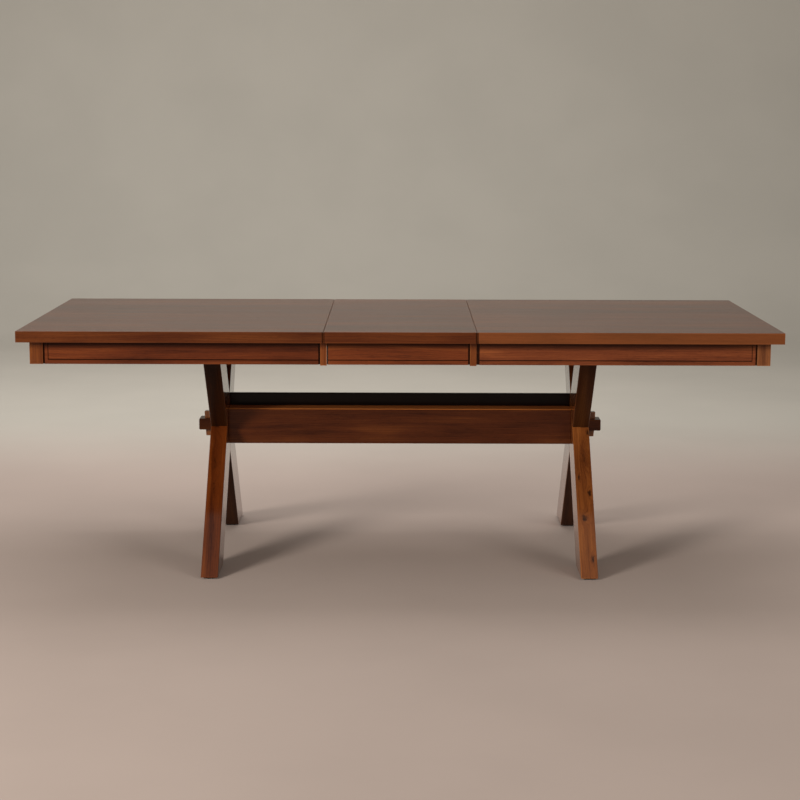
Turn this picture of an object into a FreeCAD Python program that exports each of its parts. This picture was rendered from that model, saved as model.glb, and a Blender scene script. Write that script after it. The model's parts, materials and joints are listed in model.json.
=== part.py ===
import FreeCAD
import Part
import Sketcher
import math
import os
import re

# Extension trestle table. The origin is on the floor under the middle of the top, +X runs along the
# table, the front is at -Y and +Z is up. Lengths are in millimetres.
#
# Two half-lapped X trestles, joined by a stretcher with keyed through tenons, carry two bearers. On the
# bearers lie two fixed rails, and each guides a rail of the left half and one of the right half of the
# top. A pinion between their racks makes both halves run out alike. The leaf lies between the halves.

DIMENSIONS = {
    # the top
    "table_height": 762.0,
    "top_width": 965.0,
    "half_length": 914.4,
    "leaf_length": 457.2,
    "slab_thickness": 33.5,
    "seam_clearance": 0.4,
    "seam_bevel": 2.0,
    "end_overhang": 33.0,
    "side_overhang": 43.0,
    # the aprons and their blocks
    "apron_height": 70.0,
    "apron_thickness": 22.0,
    "corner_block_width": 40.0,
    "corner_groove_width": 5.5,
    "corner_groove_depth": 8.0,
    "stile_width": 9.0,
    "bead_height": 12.5,
    "bead_upper_radius": 2.0,
    "bead_lower_radius": 3.0,
    "quirk_width": 3.0,
    "stile_quirk_width": 2.0,
    "quirk_depth": 2.5,
    "seam_block_width": 19.4,
    "seam_block_thickness": 26.0,
    "seam_block_proud": 1.5,
    "seam_block_drop": 2.2,
    "seam_block_reach": 8.5,
    "seam_block_clearance": 0.5,
    "block_groove_width": 5.5,
    "seam_groove_width": 3.5,
    "closing_clearance": 0.6,
    "lap_depth": 9.0,
    "lap_clearance": 0.5,
    "brace_inner_length": 62.0,
    "brace_outer_length": 90.0,
    "brace_height": 50.0,
    # the locating pins in the seams
    "pin_diameter": 10.0,
    "pin_reach": 12.0,
    "pin_depth": 24.0,
    "pin_clearance": 0.5,
    "outer_pin_place": 320.0,
    "inner_pin_place": 120.0,
    # the trestles
    "trestle_inner": 553.0,
    "arm_thickness": 53.0,
    "arm_level_width": 172.4,
    "arm_arris": 2.0,
    "foot_reach": 454.0,
    "cross_height": 410.0,
    "bearer_height": 34.0,
    "bearer_reach": 345.0,
    "glide_height": 5.0,
    "glide_diameter": 26.0,
    "glide_inset": 20.0,
    "lag_place": 185.0,
    "lag_diameter": 8.0,
    "lag_length": 85.0,
    "lag_head_width": 13.0,
    "lag_head_height": 6.0,
    "lag_counterbore_diameter": 20.0,
    # the stretcher with its tenons and keys
    "beam_drop": 63.0,
    "beam_height": 114.0,
    "beam_thickness": 86.0,
    "beam_arris": 2.0,
    "tenon_rise": 42.0,
    "tenon_height": 36.0,
    "tenon_width": 60.0,
    "tenon_reach": 44.0,
    "tenon_arris": 2.0,
    "tenon_clearance": 0.3,
    "ridge_thickness": 16.0,
    "ridge_height": 41.0,
    "key_width": 25.0,
    "key_drop": 22.0,
    "key_height": 80.0,
    "key_foot_depth": 23.0,
    "key_head_depth": 28.0,
    "key_relief": 4.0,
    "key_clearance": 0.3,
    "key_arris": 1.5,
    # the slides
    "slide_offset": 230.0,
    "fixed_rail_reach": 645.0,
    "fixed_rail_width": 27.0,
    "fixed_rail_height": 38.0,
    "rail_top_clearance": 0.5,
    "groove_rise": 14.0,
    "groove_height": 10.0,
    "groove_depth": 7.5,
    "slide_clearance": 0.5,
    "tongue_clearance": 0.3,
    "mover_width": 24.0,
    "mover_bottom_clearance": 4.0,
    "mover_inset": 6.0,
    "mover_reach": 640.0,
    "rail_screw_diameter": 5.0,
    "rail_screw_head_diameter": 10.0,
    "rail_screw_head_height": 3.0,
    "rail_screw_bite": 22.0,
    # the racks and pinions
    "tooth_module": 2.0,
    "rack_addendum": 1.8,
    "tooth_dedendum": 2.5,
    "tooth_backlash": 0.4,
    "gear_rise": 26.2,
    "gear_thickness": 8.0,
    "gear_side_clearance": 0.3,
    "gear_recess_clearance": 0.6,
    "rack_depth": 10.2,
    "rack_end_length": 10.0,
    "rack_stop_clearance": 2.0,
    "opening_travel": 40.0,
    "axle_diameter": 8.0,
    "axle_clearance": 0.1,
    "axle_depth": 18.0,
    "axle_head_diameter": 14.0,
    "axle_head_height": 2.0,
    # how far every cutting body runs past the face that it cuts
    "overrun": 2.0,
}

PINION_TEETH = 16
PRESSURE_ANGLE = math.radians(20.0)
CONTACT = 0.001
FLANK_STEPS = 2
SHANK_SIDES = 12
HEAD_SIDES = 6

# Heights and places that several pieces share, written in the dimensions above
TOP_UNDERSIDE = "(table_height - slab_thickness)"
APRON_BOTTOM = f"({TOP_UNDERSIDE} - apron_height)"
SEAM = "(leaf_length / 2)"
HALF_EDGE = f"({SEAM} + seam_clearance)"
TOP_END = f"({SEAM} + half_length)"
APRON_FACE_X = f"({TOP_END} - end_overhang)"
APRON_FACE_Y = "(top_width / 2 - side_overhang)"
BLOCK_INNER_X = f"({APRON_FACE_X} - corner_block_width)"
BLOCK_INNER_Y = f"({APRON_FACE_Y} - corner_block_width)"
LEFT_BLOCK_START = f"(-{SEAM} + seam_block_reach - seam_block_width)"
LEFT_BLOCK_END = f"(-{SEAM} + seam_block_reach)"
LEAF_BLOCK_START = f"({SEAM} - seam_block_width)"
LEAF_APRON_START = f"({LEFT_BLOCK_END} + seam_block_clearance)"
# The left half's seam blocks reach past its edge. When the table is closed without its leaf, they lie in
# a groove of this width at the start of the right half's aprons.
LAP_WIDTH = "(seam_block_reach + closing_clearance)"
PIN_HEIGHT = "(table_height - slab_thickness / 2)"
RAIL_TOP = f"({TOP_UNDERSIDE} - rail_top_clearance)"
RAIL_BOTTOM = f"({RAIL_TOP} - fixed_rail_height)"
BEARER_BOTTOM = f"({RAIL_BOTTOM} - bearer_height)"
ARM_OUTER = "(trestle_inner + arm_thickness)"
ARM_MIDDLE = "(trestle_inner + arm_thickness / 2)"
ARM_SLOPE = "((foot_reach - arm_level_width / 2) / (cross_height - glide_height))"
LAP_RISE = f"(arm_level_width / 2 / {ARM_SLOPE})"
BEAM_BOTTOM = "(cross_height - beam_drop)"
BEAM_TOP = f"({BEAM_BOTTOM} + beam_height)"
TENON_BOTTOM = f"({BEAM_BOTTOM} + tenon_rise)"
TENON_TOP = f"({TENON_BOTTOM} + tenon_height)"
TENON_END = f"({ARM_OUTER} + tenon_reach)"
KEY_BOTTOM = f"({TENON_BOTTOM} - key_drop)"
KEY_TOP = f"({KEY_BOTTOM} + key_height)"
GROOVE_BOTTOM = f"({RAIL_BOTTOM} + groove_rise)"
GROOVE_TOP = f"({GROOVE_BOTTOM} + groove_height)"
GEAR_BOTTOM = f"({RAIL_BOTTOM} + gear_rise)"
GEAR_TOP = f"({GEAR_BOTTOM} + gear_thickness)"
MOVER_FACE = "(fixed_rail_width / 2 + slide_clearance)"
MOVER_BACK = f"({MOVER_FACE} + mover_width)"
MOVER_BOTTOM = f"({RAIL_BOTTOM} + mover_bottom_clearance)"
MOVER_INNER_END = f"({SEAM} - mover_inset)"
TONGUE_FACE = f"({MOVER_FACE} - groove_depth)"
PITCH_RADIUS = f"({PINION_TEETH} * tooth_module / 2)"

doc = FreeCAD.newDocument("trestle_table")
sheet = doc.addObject("Spreadsheet::Sheet", "sizes")
for row, (alias, size) in enumerate(DIMENSIONS.items(), start=1):
    sheet.set(f"A{row}", alias)
    sheet.set(f"B{row}", str(size))
    sheet.setAlias(f"B{row}", alias)
doc.recompute()

nodes = {}


def bound(text):
    """Turn a formula in plain names into one that reads the sheet."""
    return re.sub(r"[a-z][a-z_]+", lambda word: f"sizes.{word.group()}", str(text))


def bind(thing, **formulas):
    for prop, text in formulas.items():
        thing.setExpression(prop, bound(text))


def put(thing, x="0", y="0", z="0"):
    for axis, text in zip("xyz", (x, y, z)):
        thing.setExpression(f"Placement.Base.{axis}", bound(text))
    return thing


def turn(thing, degrees):
    thing.Placement = FreeCAD.Placement(
        FreeCAD.Vector(), FreeCAD.Rotation(FreeCAD.Vector(0, 0, 1), degrees)
    )
    return thing


def finish(name, thing):
    """Name the finished sub-part."""
    thing.Label = name
    nodes[name] = thing
    return thing


def span(side, near, far):
    """The start and the length of a stretch from near to far on one side of the middle."""
    start = near if side > 0 else f"-{far}"
    return start, f"({far} - {near})"


def board(name, x, y, z):
    """A squared board: each of x, y and z is a start and a length."""
    box = doc.addObject("Part::Box", f"{name}_board")
    bind(box, Length=x[1], Width=y[1], Height=z[1])
    return put(box, x[0], y[0], z[0])


def cylinder(name, diameter, height, x, y, z):
    rod = doc.addObject("Part::Cylinder", name)
    bind(rod, Radius=f"({diameter}) / 2", Height=height)
    return put(rod, x, y, z)


def prism(name, sides, corner_radius, height, x, y, z):
    """An upright bar with flat sides: a hexagon head, or a small shank or bore in few faces."""
    bar = doc.addObject("Part::Prism", name)
    bar.Polygon = sides
    bind(bar, Circumradius=corner_radius, Height=height)
    return put(bar, x, y, z)


def joined(name, *pieces):
    fuse = doc.addObject("Part::MultiFuse", name)
    fuse.Shapes = list(pieces)
    return fuse


def group(name, pieces):
    """Separate solids that share one node."""
    compound = doc.addObject("Part::Compound", f"{name}_group")
    compound.Links = list(pieces)
    return compound


def cut(name, piece, *tools):
    for tool in tools:
        result = doc.addObject("Part::Cut", f"{name}_cut")
        result.Base = piece
        result.Tool = tool
        piece = result
    return piece


def new_body(name):
    return doc.addObject("PartDesign::Body", f"{name}_body")


def sketch_on(body, plane, outlines, height="0"):
    """A sketch on an origin plane of the body. An outline is a list of corners in formulas."""
    sketch = body.newObject("Sketcher::SketchObject", "outline")
    support = next(f for f in body.Origin.OriginFeatures if f.Role == plane)
    sketch.AttachmentSupport = [(support, "")]
    sketch.MapMode = "FlatFace"
    sketch.setExpression("AttachmentOffset.Base.z", bound(height))
    for corners in outlines:
        first = sketch.GeometryCount
        count = len(corners)
        ring = [FreeCAD.Vector(math.cos(a), math.sin(a), 0) for a in
                (2 * math.pi * i / count for i in range(count))]
        for i in range(count):
            sketch.addGeometry(Part.LineSegment(ring[i], ring[(i + 1) % count]), False)
        for i in range(count):
            edge = first + i
            after = first + (i + 1) % count
            sketch.addConstraint(Sketcher.Constraint("Coincident", edge, 2, after, 1))
        for i, corner in enumerate(corners):
            for kind, text, place in zip(("DistanceX", "DistanceY"), corner, ring[i]):
                datum = Sketcher.Constraint(kind, -1, 1, first + i, 1, place)
                index = sketch.addConstraint(datum)
                sketch.setExpression(f"Constraints[{index}]", bound(text))
    return sketch


def pad(body, sketch, length, midplane=False, backwards=False):
    feature = body.newObject("PartDesign::Pad", "pad")
    feature.Profile = sketch
    bind(feature, Length=length)
    feature.Midplane = midplane
    feature.Reversed = backwards
    doc.recompute()
    return feature


def pocket(body, sketch, length, midplane=False, backwards=False):
    """Cut the body, and stop if nothing was cut."""
    before = body.Tip.Shape.Volume
    feature = body.newObject("PartDesign::Pocket", "pocket")
    feature.Profile = sketch
    bind(feature, Length=length)
    feature.Midplane = midplane
    feature.Reversed = backwards
    doc.recompute()
    if not feature.Shape.Volume < before:
        raise RuntimeError(f"{body.Name} has a pocket that cuts nothing")
    return feature


def ease(body, kind, size, chosen):
    """Chamfer or fillet the edges of the body, as it is so far, that the chosen test picks."""
    base = body.Tip
    edges = [f"Edge{i}" for i, edge in enumerate(base.Shape.Edges, start=1) if chosen(edge)]
    feature = body.newObject(f"PartDesign::{kind}", kind.lower())
    feature.Base = (base, edges)
    bind(feature, **{"Size" if kind == "Chamfer" else "Radius": size})
    doc.recompute()
    if not feature.Shape.Volume < base.Shape.Volume:
        raise RuntimeError(f"{body.Name} has a {kind} that takes nothing off")
    return feature


def close(first, second):
    return math.isclose(first, second, abs_tol=CONTACT)


def runs_along_x(edge):
    return not close(edge.BoundBox.XLength, 0)


def rectangle(left, right, low, high):
    return [(left, low), (right, low), (right, high), (left, high)]


# The trestles


def arm_middle(foot_side, height):
    """The y of an arm's centre line at a height; the arm's foot is on foot_side."""
    return f"({foot_side} * (cross_height - {height}) * {ARM_SLOPE})"


def arm(name, side, foot_side, lap_outside, lags):
    """One arm of an X trestle, with its half of the lap and the mortise for the tenon."""
    half = "arm_level_width / 2"
    sole = arm_middle(foot_side, "glide_height")
    head = arm_middle(foot_side, BEARER_BOTTOM)
    body = new_body(name)
    outline = [
        (f"{sole} - {half}", "glide_height"),
        (f"{sole} + {half}", "glide_height"),
        (f"{head} + {half}", BEARER_BOTTOM),
        (f"{head} - {half}", BEARER_BOTTOM),
    ]
    pad(body, sketch_on(body, "YZ_Plane", [outline]), "arm_thickness")
    ease(body, "Chamfer", "arm_arris", lambda edge: not close(edge.BoundBox.ZLength, 0))
    lap = [
        (f"-{half}", "cross_height"),
        ("0", f"cross_height - {LAP_RISE}"),
        (half, "cross_height"),
        ("0", f"cross_height + {LAP_RISE}"),
    ]
    lap_sketch = sketch_on(body, "YZ_Plane", [lap], "arm_thickness / 2")
    pocket(body, lap_sketch, "arm_thickness / 2 + overrun", backwards=lap_outside == (side > 0))
    mortise = rectangle(
        "-(tenon_width / 2 + tenon_clearance)",
        "tenon_width / 2 + tenon_clearance",
        f"{TENON_BOTTOM} - tenon_clearance",
        f"{TENON_TOP} + tenon_clearance",
    )
    mortise_sketch = sketch_on(body, "YZ_Plane", [mortise], "arm_thickness / 2")
    pocket(body, mortise_sketch, "arm_thickness + overrun", midplane=True)
    put(body, span(side, "trestle_inner", ARM_OUTER)[0])
    return finish(name, cut(name, body, lags))


def glide(x, y):
    """A round glide under a foot, a little narrower where it meets the floor."""
    disc = doc.addObject("Part::Cone", "glide_disc")
    bind(disc, Radius1="glide_diameter / 2 - glide_height / 4", Radius2="glide_diameter / 2")
    bind(disc, Height="glide_height")
    return put(disc, x, y)


def lag(x, y):
    """A bearer's lag bolt with its hexagon head."""
    seat = f"{RAIL_BOTTOM} - lag_head_height"
    corner_radius = f"lag_head_width / 2 / {math.cos(math.pi / HEAD_SIDES)}"
    head = prism("lag_head", HEAD_SIDES, corner_radius, "lag_head_height", x, y, seat)
    shank = prism("lag_shank", SHANK_SIDES, "lag_diameter / 2", "lag_length", x, y, f"{seat} - lag_length")
    return joined("lag", head, shank)


def lag_counterbore(x, y):
    """The room that lets a lag bolt's head into the bearer."""
    floor = f"{RAIL_BOTTOM} - lag_head_height"
    depth = "lag_head_height + overrun"
    return prism("lag_counterbore", SHANK_SIDES, "lag_counterbore_diameter / 2", depth, x, y, floor)


glide_place = "(foot_reach - glide_inset)"
sides = (-1, 1)
glides = [glide(f"{side} * {ARM_MIDDLE}", f"{foot} * {glide_place}") for side in sides for foot in sides]
finish("foot_glides", group("foot_glides", glides))
lag_places = [(f"{side} * {ARM_MIDDLE}", f"{head} * lag_place") for side in sides for head in sides]
lag_bolts = finish("bearer_lag_bolts", group("bearer_lag_bolts", [lag(x, y) for x, y in lag_places]))
counterbores = group("lag_counterbores", [lag_counterbore(x, y) for x, y in lag_places])

for side, side_name in ((-1, "left"), (1, "right")):
    arm(f"{side_name}_front_arm", side, -1, True, lag_bolts)
    arm(f"{side_name}_rear_arm", side, 1, False, lag_bolts)


# The screws that hold the fixed rails on the bearers


def rail_screw(x, y):
    head_place = f"{RAIL_TOP} - rail_screw_head_height"
    head = doc.addObject("Part::Cone", "rail_screw_head")
    bind(head, Radius1="rail_screw_diameter / 2", Radius2="rail_screw_head_diameter / 2")
    bind(head, Height="rail_screw_head_height")
    put(head, x, y, head_place)
    tip = f"({RAIL_BOTTOM} - rail_screw_bite)"
    radius = "rail_screw_diameter / 2"
    shank = prism("rail_screw_shank", SHANK_SIDES, radius, f"{head_place} - {tip}", x, y, tip)
    return joined("rail_screw", head, shank)


rail_screw_pieces = [
    rail_screw(f"{side} * {ARM_MIDDLE}", f"{row} * slide_offset") for side in sides for row in sides
]
rail_screws = finish("rail_screws", group("rail_screws", rail_screw_pieces))

for side, side_name in ((-1, "left"), (1, "right")):
    bearer = board(
        f"{side_name}_bearer",
        span(side, "trestle_inner", ARM_OUTER),
        ("-bearer_reach", "2 * bearer_reach"),
        (BEARER_BOTTOM, "bearer_height"),
    )
    fasteners = (lag_bolts, counterbores, rail_screws)
    finish(f"{side_name}_bearer", cut(f"{side_name}_bearer", bearer, *fasteners))


# The stretcher, with a tenon through each trestle and a wedge key behind it


def key_outline(side, inner):
    """The side view of a wedge key from its inner face to its sloping outer face."""
    return [
        (f"{side} * {inner}", KEY_BOTTOM),
        (f"{side} * ({ARM_OUTER} + key_foot_depth)", KEY_BOTTOM),
        (f"{side} * ({ARM_OUTER} + key_head_depth)", KEY_TOP),
        (f"{side} * {inner}", KEY_TOP),
    ]


beam = new_body("stretcher_beam")
beam_section = rectangle("-beam_thickness / 2", "beam_thickness / 2", BEAM_BOTTOM, BEAM_TOP)
pad(beam, sketch_on(beam, "YZ_Plane", [beam_section]), "2 * trestle_inner", midplane=True)
ease(beam, "Chamfer", "beam_arris", runs_along_x)
tenon_section = rectangle("-tenon_width / 2", "tenon_width / 2", TENON_BOTTOM, TENON_TOP)
pad(beam, sketch_on(beam, "YZ_Plane", [tenon_section]), f"2 * {TENON_END}", midplane=True)
arm_outer = sheet.trestle_inner + sheet.arm_thickness
tenon_end = arm_outer + sheet.tenon_reach
ease(beam, "Chamfer", "tenon_arris", lambda edge: close(abs(edge.CenterOfMass.x), tenon_end))
slots = [key_outline(side, f"({ARM_OUTER} - key_relief)") for side in sides]
pocket(beam, sketch_on(beam, "XZ_Plane", slots), "key_width + 2 * key_clearance", midplane=True)
finish("stretcher_beam", beam)

ridge = new_body("stretcher_ridge")
ridge_section = rectangle(
    "beam_thickness / 2 - beam_arris - ridge_thickness",
    "beam_thickness / 2 - beam_arris",
    BEAM_TOP,
    f"{BEAM_TOP} + ridge_height",
)
pad(ridge, sketch_on(ridge, "YZ_Plane", [ridge_section]), "2 * trestle_inner", midplane=True)
ridge_middle = ridge.Tip.Shape.CenterOfMass.z
ease(
    ridge,
    "Chamfer",
    "beam_arris",
    lambda edge: runs_along_x(edge) and edge.CenterOfMass.z > ridge_middle,
)
finish("stretcher_ridge", ridge)

for side, side_name in ((-1, "left"), (1, "right")):
    key = new_body(f"{side_name}_wedge_key")
    pad(key, sketch_on(key, "XZ_Plane", [key_outline(side, ARM_OUTER)]), "key_width", midplane=True)
    ease(key, "Chamfer", "key_arris", lambda edge: not close(abs(edge.CenterOfMass.x), arm_outer))
    finish(f"{side_name}_wedge_key", key)


# The fixed rails, with the pinions and their axles


def fixed_rail(name, row):
    """A rail with a groove along each side and a round recess for the pinion."""
    body = new_body(name)
    edge = "fixed_rail_width / 2"
    web = "(fixed_rail_width / 2 - groove_depth)"
    section = [
        (f"-{edge}", RAIL_BOTTOM),
        (edge, RAIL_BOTTOM),
        (edge, GROOVE_BOTTOM),
        (web, GROOVE_BOTTOM),
        (web, GROOVE_TOP),
        (edge, GROOVE_TOP),
        (edge, RAIL_TOP),
        (f"-{edge}", RAIL_TOP),
        (f"-{edge}", GROOVE_TOP),
        (f"-{web}", GROOVE_TOP),
        (f"-{web}", GROOVE_BOTTOM),
        (f"-{edge}", GROOVE_BOTTOM),
    ]
    pad(body, sketch_on(body, "YZ_Plane", [section]), "2 * fixed_rail_reach", midplane=True)
    place = f"{row} * slide_offset"
    put(body, y=place)
    floor = f"({GEAR_BOTTOM} - gear_side_clearance)"
    recess = cylinder(
        "pinion_recess",
        f"2 * ({PITCH_RADIUS} + tooth_module + gear_recess_clearance)",
        f"{RAIL_TOP} - {floor} + overrun",
        "0",
        place,
        floor,
    )
    return finish(name, cut(name, body, recess, axles, rail_screws))


def axle(row):
    """A pinion's axle, set in the fixed rail, with the head that keeps the pinion on it."""
    place = f"{row} * slide_offset"
    foot = f"({GEAR_BOTTOM} - axle_depth)"
    head_place = f"({GEAR_TOP} + gear_side_clearance)"
    shank = cylinder("axle_shank", "axle_diameter", f"{head_place} - {foot}", "0", place, foot)
    head = cylinder("axle_head", "axle_head_diameter", "axle_head_height", "0", place, head_place)
    return joined("axle", shank, head)


axles = finish("pinion_axles", group("pinion_axles", [axle(row) for row in sides]))
fixed_rail("front_fixed_rail", -1)
fixed_rail("rear_fixed_rail", 1)


def involute(angle):
    return math.tan(angle) - angle


def pinion_shape():
    """A pinion with involute flanks, standing on z = 0, with a tooth at +Y and one at -Y."""
    module = sheet.tooth_module
    pitch_radius = PINION_TEETH * module / 2
    base_radius = pitch_radius * math.cos(PRESSURE_ANGLE)
    tip_radius = pitch_radius + module
    root_radius = pitch_radius - sheet.tooth_dedendum
    slack = sheet.tooth_backlash / 2 / pitch_radius
    half_tooth = math.pi / (2 * PINION_TEETH) + involute(PRESSURE_ANGLE) - slack / 2
    flank = [(root_radius, half_tooth)]
    for step in range(FLANK_STEPS + 1):
        radius = base_radius + (tip_radius - base_radius) * step / FLANK_STEPS
        flank.append((radius, half_tooth - involute(math.acos(base_radius / radius))))
    corners = []
    for tooth in range(PINION_TEETH):
        middle = math.pi / 2 + 2 * math.pi * tooth / PINION_TEETH
        sides_of_tooth = [(radius, middle - half) for radius, half in flank]
        sides_of_tooth += [(radius, middle + half) for radius, half in reversed(flank)]
        for radius, angle in sides_of_tooth:
            corners.append(FreeCAD.Vector(radius * math.cos(angle), radius * math.sin(angle), 0))
    outline = Part.Face(Part.makePolygon(corners + corners[:1]))
    thickness = sheet.gear_thickness - 2 * sheet.gear_side_clearance
    blank = outline.extrude(FreeCAD.Vector(0, 0, thickness))
    bore = Part.makeCylinder(sheet.axle_diameter / 2 + sheet.axle_clearance, thickness)
    return blank.cut(bore)


def rack_shape():
    """A rack for a half that runs out along -X, with its pitch line on the X axis."""
    module = sheet.tooth_module
    pitch = math.pi * module
    mesh_radius = PINION_TEETH * module / 2 + module
    tip_distance = PINION_TEETH * module / 2 - sheet.rack_addendum
    mesh_reach = math.sqrt(mesh_radius ** 2 - tip_distance ** 2)
    opening_gaps = math.ceil((sheet.opening_travel + mesh_reach + sheet.rack_stop_clearance) / pitch - 0.5)
    closing_gaps = math.ceil((sheet.leaf_length / 2 + mesh_reach) / pitch)
    slope = math.tan(PRESSURE_ANGLE)
    half_gap = pitch / 4 + sheet.tooth_backlash / 4
    half_mouth = half_gap + sheet.rack_addendum * slope
    half_floor = half_gap - sheet.tooth_dedendum * slope
    front = -sheet.rack_addendum
    floor = sheet.tooth_dedendum
    back = sheet.rack_depth - sheet.rack_addendum
    start = -(opening_gaps + 0.5) * pitch - sheet.rack_end_length
    end = (closing_gaps + 0.5) * pitch + sheet.rack_end_length
    corners = [(start, back), (start, front)]
    for gap in range(-opening_gaps, closing_gaps + 1):
        middle = gap * pitch
        corners.append((middle - half_mouth, front))
        corners.append((middle - half_floor, floor))
        corners.append((middle + half_floor, floor))
        corners.append((middle + half_mouth, front))
    corners += [(end, front), (end, back)]
    points = [FreeCAD.Vector(-x, y, 0) for x, y in corners]
    return Part.Face(Part.makePolygon(points + points[:1])).extrude(
        FreeCAD.Vector(0, 0, sheet.gear_thickness)
    )


gear_floor = (
    sheet.table_height
    - sheet.slab_thickness
    - sheet.rail_top_clearance
    - sheet.fixed_rail_height
    + sheet.gear_rise
)
for row, row_name in ((-1, "front"), (1, "rear")):
    pinion = doc.addObject("Part::Feature", f"{row_name}_pinion_gear")
    pinion.Shape = pinion_shape()
    pinion.Placement.Base = FreeCAD.Vector(
        0, row * sheet.slide_offset, gear_floor + sheet.gear_side_clearance
    )
    finish(f"{row_name}_pinion", pinion)


# The rails that carry the halves, with their racks. The right half's lie in front of the fixed rails.


def mover(name, side, row):
    """A moving rail with the tongue that runs in the fixed rail and the groove for its rack."""
    back = -side
    section = [
        (MOVER_FACE, MOVER_BOTTOM),
        (MOVER_BACK, MOVER_BOTTOM),
        (MOVER_BACK, TOP_UNDERSIDE),
        (MOVER_FACE, TOP_UNDERSIDE),
        (MOVER_FACE, GEAR_TOP),
        (f"{PITCH_RADIUS} - rack_addendum + rack_depth", GEAR_TOP),
        (f"{PITCH_RADIUS} - rack_addendum + rack_depth", GEAR_BOTTOM),
        (MOVER_FACE, GEAR_BOTTOM),
        (MOVER_FACE, f"{GROOVE_TOP} - tongue_clearance"),
        (TONGUE_FACE, f"{GROOVE_TOP} - tongue_clearance"),
        (TONGUE_FACE, f"{GROOVE_BOTTOM} + tongue_clearance"),
        (MOVER_FACE, f"{GROOVE_BOTTOM} + tongue_clearance"),
    ]
    body = new_body(name)
    corners = [(f"{back} * ({y})", z) for y, z in section]
    sketch = sketch_on(body, "YZ_Plane", [corners])
    pad(body, sketch, f"{MOVER_INNER_END} + mover_reach")
    start = f"-{MOVER_INNER_END}" if side > 0 else "-mover_reach"
    put(body, start, f"{row} * slide_offset")
    return finish(name, body)


def rack(name, side, row):
    """A rack in its moving rail. The right half's racks are the left half's turned by half a turn."""
    bar = doc.addObject("Part::Feature", f"{name}_bar")
    bar.Shape = rack_shape()
    pitch_line = row * sheet.slide_offset - side * PINION_TEETH * sheet.tooth_module / 2
    half_turns = 1 if side > 0 else 0
    bar.Placement = FreeCAD.Placement(
        FreeCAD.Vector(0, pitch_line, gear_floor),
        FreeCAD.Rotation(FreeCAD.Vector(0, 0, 1), 180 * half_turns),
    )
    return finish(name, bar)


for side, side_name in ((-1, "left"), (1, "right")):
    for row, row_name in ((-1, "front"), (1, "rear")):
        mover(f"{side_name}_{row_name}_moving_rail", side, row)
        rack(f"{side_name}_{row_name}_rack", side, row)


# The locating pins of the seams


def pin(side, y, grow="0"):
    """A pin from inside a half's slab to past its seam edge."""
    rod = doc.addObject("Part::Cylinder", "locating_pin")
    bind(rod, Radius=f"pin_diameter / 2 + {grow}", Height="pin_depth + pin_reach")
    start = f"-({HALF_EDGE} + pin_depth)" if side < 0 else f"{HALF_EDGE} - pin_reach"
    rod.Placement = FreeCAD.Placement(
        FreeCAD.Vector(), FreeCAD.Rotation(FreeCAD.Vector(0, 1, 0), 90)
    )
    return put(rod, start, y, PIN_HEIGHT)


def pin_hole(side, y):
    """The hole in a half for the other half's pin, when the table is closed without its leaf."""
    rod = doc.addObject("Part::Cylinder", "pin_hole")
    bind(rod, Radius="pin_diameter / 2 + pin_clearance", Height="pin_reach + 2 * overrun")
    start = f"-({HALF_EDGE} + pin_reach + overrun)" if side < 0 else f"{HALF_EDGE} - overrun"
    rod.Placement = FreeCAD.Placement(
        FreeCAD.Vector(), FreeCAD.Rotation(FreeCAD.Vector(0, 1, 0), 90)
    )
    return put(rod, start, y, PIN_HEIGHT)


def pin_slot(side, y):
    """The slot in the leaf's edge, open below, so that the leaf lifts off the pin."""
    return board(
        "pin_slot",
        span(side, f"({SEAM} - pin_reach - pin_clearance)", f"({SEAM} + overrun)"),
        (f"{y} - pin_diameter / 2 - pin_clearance", "pin_diameter + 2 * pin_clearance"),
        (f"{TOP_UNDERSIDE} - overrun", "(slab_thickness + pin_diameter) / 2 + pin_clearance + overrun"),
    )


PIN_LINES = {-1: ("-outer_pin_place", "outer_pin_place"), 1: ("-inner_pin_place", "inner_pin_place")}


# The slabs of the top


def upright_bevel(edge, inward, row):
    """The triangle that bevels the upright edge at one end of a seam, seen from above."""
    side_line = "top_width / 2"
    return [
        (f"{edge} - {inward} * overrun", f"{row} * ({side_line} - seam_bevel - overrun)"),
        (f"{edge} + {inward} * (seam_bevel + overrun)", f"{row} * ({side_line} + overrun)"),
        (f"{edge} - {inward} * overrun", f"{row} * ({side_line} + overrun)"),
    ]


def slab(name, corners, seams):
    """A slab of the top from its side view. Each seam is its x and the way into the slab from it."""
    body = new_body(name)
    pad(body, sketch_on(body, "XZ_Plane", [corners]), "top_width", midplane=True)
    bevels = [upright_bevel(edge, inward, row) for edge, inward in seams for row in sides]
    bevel_sketch = sketch_on(body, "XY_Plane", bevels, "table_height + overrun")
    pocket(body, bevel_sketch, "slab_thickness + 2 * overrun")
    return body


def half_slab(name, side, pins):
    corners = [
        (f"{side} * {TOP_END}", TOP_UNDERSIDE),
        (f"{side} * {TOP_END}", "table_height"),
        (f"{side} * ({HALF_EDGE} + seam_bevel)", "table_height"),
        (f"{side} * {HALF_EDGE}", "table_height - seam_bevel"),
        (f"{side} * {HALF_EDGE}", TOP_UNDERSIDE),
    ]
    holes = group(f"{name}_holes", [pin_hole(side, y) for y in PIN_LINES[-side]])
    body = slab(name, corners, [(f"{side} * {HALF_EDGE}", side)])
    return finish(name, cut(name, body, pins, holes))


for side, side_name in ((-1, "left"), (1, "right")):
    pins = group(f"{side_name}_pins", [pin(side, y) for y in PIN_LINES[side]])
    finish(f"{side_name}_locating_pins", pins)
    half_slab(f"{side_name}_slab", side, pins)

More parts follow.
